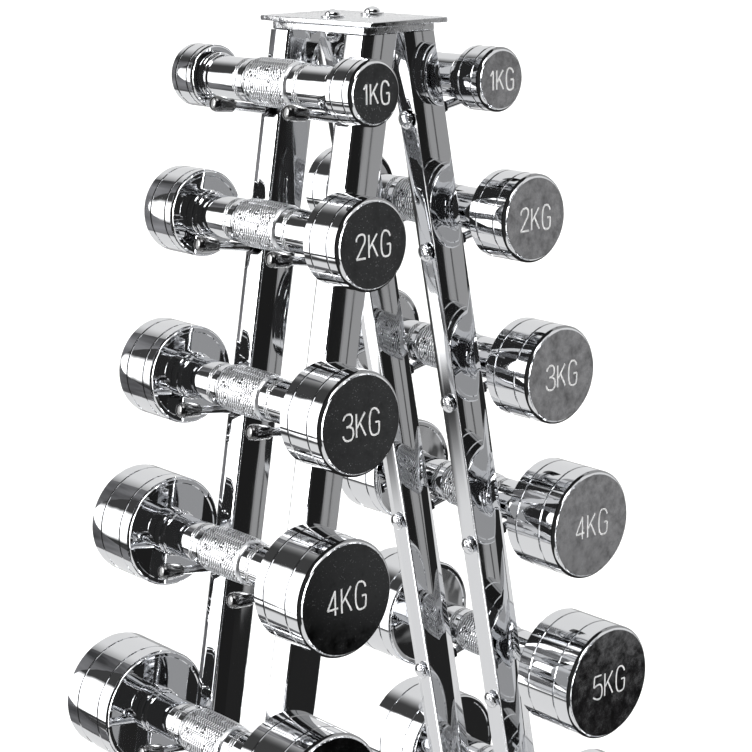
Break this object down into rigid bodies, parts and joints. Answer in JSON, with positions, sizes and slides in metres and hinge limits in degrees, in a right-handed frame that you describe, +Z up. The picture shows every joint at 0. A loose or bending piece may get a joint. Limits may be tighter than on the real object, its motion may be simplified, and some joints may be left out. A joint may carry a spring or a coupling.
{
  "type": "dumbbell rack",
  "caption": "Chrome A-frame tower rack of leaning rectangular tubes, with capped pegs that carry a graded set of chrome dumbbells across its front and back.",
  "frame": {"origin": "centre of the footprint, on the floor", "axes": "+Z up, +X along the dumbbells towards the ends that show their marks, -Y towards the front column"},
  "size_m": [0.3, 0.5282, 1.0199],
  "materials": {
    "stand": "bright chrome plate on steel tube",
    "dumbbell": "bright chrome plate on turned iron, with a knurled grip",
    "peg": "bright chrome plate on steel rod",
    "fastener": "bright chrome plate on a dome-head bolt",
    "cap": "glossy black moulded plastic",
    "foot": "black moulded rubber"
  },
  "bodies": {
    "stand": {"top_plate": "stand", "top_flange": "stand", "top_bolt_front": "fastener", "top_bolt_back": "fastener", "foot_bar_front": "stand", "foot_bar_back": "stand", "side_rail_left": "stand", "side_rail_right": "stand", "leg_front_left": "stand", "leg_front_right": "stand", "leg_back_left": "stand", "leg_back_right": "stand", "peg_front_left_1kg": "peg", "peg_front_right_1kg": "peg", "peg_front_left_2kg": "peg", "peg_front_right_2kg": "peg", "peg_front_left_3kg": "peg", "peg_front_right_3kg": "peg", "peg_front_left_4kg": "peg", "peg_front_right_4kg": "peg", "peg_front_left_5kg": "peg", "peg_front_right_5kg": "peg", "peg_front_left_6kg": "peg", "peg_front_right_6kg": "peg", "peg_front_left_8kg": "peg", "peg_front_right_8kg": "peg", "peg_front_left_10kg": "peg", "peg_front_right_10kg": "peg", "peg_back_left_1kg": "peg", "peg_back_right_1kg": "peg", "peg_back_left_2kg": "peg", "peg_back_right_2kg": "peg", "peg_back_left_3kg": "peg", "peg_back_right_3kg": "peg", "peg_back_left_4kg": "peg", "peg_back_right_4kg": "peg", "peg_back_left_5kg": "peg", "peg_back_right_5kg": "peg", "peg_back_left_6kg": "peg", "peg_back_right_6kg": "peg", "peg_back_left_8kg": "peg", "peg_back_right_8kg": "peg", "peg_back_left_10kg": "peg", "peg_back_right_10kg": "peg"},
    "dumbbell_front_1kg": {"dumbbell_front_1kg": "dumbbell"},
    "dumbbell_front_2kg": {"dumbbell_front_2kg": "dumbbell"},
    "dumbbell_front_3kg": {"dumbbell_front_3kg": "dumbbell"},
    "dumbbell_front_4kg": {"dumbbell_front_4kg": "dumbbell"},
    "dumbbell_front_5kg": {"dumbbell_front_5kg": "dumbbell"},
    "dumbbell_front_6kg": {"dumbbell_front_6kg": "dumbbell"},
    "dumbbell_front_8kg": {"dumbbell_front_8kg": "dumbbell"},
    "dumbbell_front_10kg": {"dumbbell_front_10kg": "dumbbell"},
    "dumbbell_back_1kg": {"dumbbell_back_1kg": "dumbbell"},
    "dumbbell_back_2kg": {"dumbbell_back_2kg": "dumbbell"},
    "dumbbell_back_3kg": {"dumbbell_back_3kg": "dumbbell"},
    "dumbbell_back_4kg": {"dumbbell_back_4kg": "dumbbell"},
    "dumbbell_back_5kg": {"dumbbell_back_5kg": "dumbbell"},
    "dumbbell_back_6kg": {"dumbbell_back_6kg": "dumbbell"},
    "dumbbell_back_8kg": {"dumbbell_back_8kg": "dumbbell"},
    "dumbbell_back_10kg": {"dumbbell_back_10kg": "dumbbell"}
  },
  "joints": [
    {"name": "lift_front_1kg", "type": "slide", "parent": "stand", "child": "dumbbell_front_1kg", "axis": [0, -0.9041, 0.4274], "range_m": [0, 0.12]},
    {"name": "lift_front_2kg", "type": "slide", "parent": "stand", "child": "dumbbell_front_2kg", "axis": [0, -0.9041, 0.4274], "range_m": [0, 0.12]},
    {"name": "lift_front_3kg", "type": "slide", "parent": "stand", "child": "dumbbell_front_3kg", "axis": [0, -0.9041, 0.4274], "range_m": [0, 0.12]},
    {"name": "lift_front_4kg", "type": "slide", "parent": "stand", "child": "dumbbell_front_4kg", "axis": [0, -0.9041, 0.4274], "range_m": [0, 0.12]},
    {"name": "lift_front_5kg", "type": "slide", "parent": "stand", "child": "dumbbell_front_5kg", "axis": [0, -0.9041, 0.4274], "range_m": [0, 0.12]},
    {"name": "lift_front_6kg", "type": "slide", "parent": "stand", "child": "dumbbell_front_6kg", "axis": [0, -0.9041, 0.4274], "range_m": [0, 0.12]},
    {"name": "lift_front_8kg", "type": "slide", "parent": "stand", "child": "dumbbell_front_8kg", "axis": [0, -0.9041, 0.4274], "range_m": [0, 0.12]},
    {"name": "lift_front_10kg", "type": "slide", "parent": "stand", "child": "dumbbell_front_10kg", "axis": [0, -0.9041, 0.4274], "range_m": [0, 0.12]},
    {"name": "lift_back_1kg", "type": "slide", "parent": "stand", "child": "dumbbell_back_1kg", "axis": [0, 0.9041, 0.4274], "range_m": [0, 0.12]},
    {"name": "lift_back_2kg", "type": "slide", "parent": "stand", "child": "dumbbell_back_2kg", "axis": [0, 0.9041, 0.4274], "range_m": [0, 0.12]},
    {"name": "lift_back_3kg", "type": "slide", "parent": "stand", "child": "dumbbell_back_3kg", "axis": [0, 0.9041, 0.4274], "range_m": [0, 0.12]},
    {"name": "lift_back_4kg", "type": "slide", "parent": "stand", "child": "dumbbell_back_4kg", "axis": [0, 0.9041, 0.4274], "range_m": [0, 0.12]},
    {"name": "lift_back_5kg", "type": "slide", "parent": "stand", "child": "dumbbell_back_5kg", "axis": [0, 0.9041, 0.4274], "range_m": [0, 0.12]},
    {"name": "lift_back_6kg", "type": "slide", "parent": "stand", "child": "dumbbell_back_6kg", "axis": [0, 0.9041, 0.4274], "range_m": [0, 0.12]},
    {"name": "lift_back_8kg", "type": "slide", "parent": "stand", "child": "dumbbell_back_8kg", "axis": [0, 0.9041, 0.4274], "range_m": [0, 0.12]},
    {"name": "lift_back_10kg", "type": "slide", "parent": "stand", "child": "dumbbell_back_10kg", "axis": [0, 0.9041, 0.4274], "range_m": [0, 0.12]}
  ]
}
